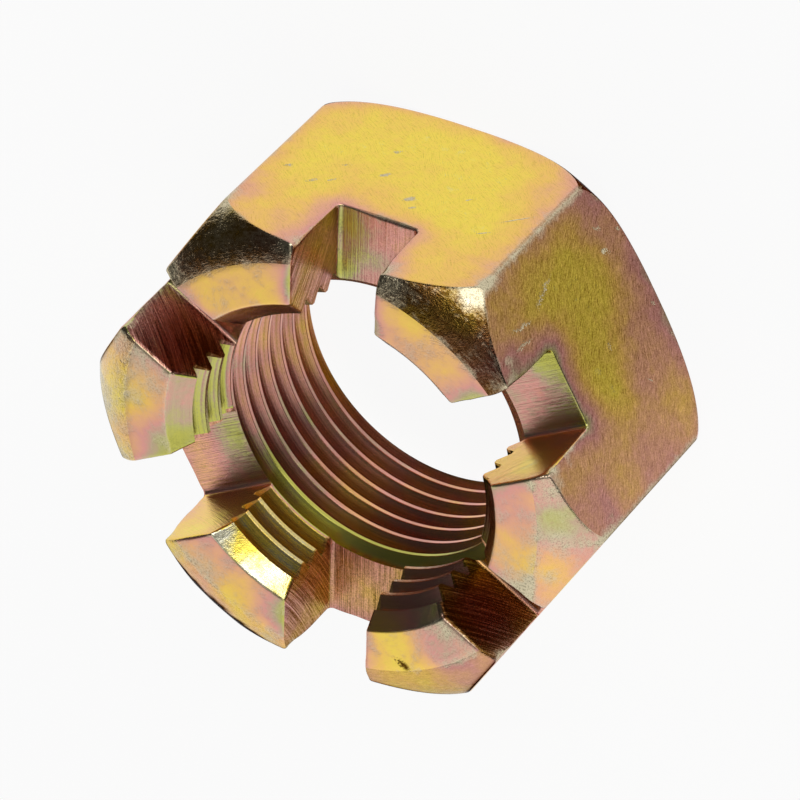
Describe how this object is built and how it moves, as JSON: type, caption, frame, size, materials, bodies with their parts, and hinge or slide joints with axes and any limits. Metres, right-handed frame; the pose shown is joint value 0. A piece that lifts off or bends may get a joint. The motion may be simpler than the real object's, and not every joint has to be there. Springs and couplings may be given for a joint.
{
  "type": "castle nut",
  "caption": "Hexagonal castle nut in yellow zinc plate: a slotted, domed end takes a cotter pin, and a threaded bore with countersunk ends runs through.",
  "frame": {"origin": "centre of the bearing face, on the thread axis", "axes": "+Z along the thread axis from the bearing face to the slotted end, +X through a corner of the hexagon, +Y square to a flat"},
  "size_m": [0.042, 0.0364, 0.0201],
  "materials": {
    "yellow_zinc": "steel, zinc plated with an iridescent yellow chromate film, satin"
  },
  "bodies": {
    "root": {"castle_nut": "yellow_zinc"}
  },
  "joints": []
}
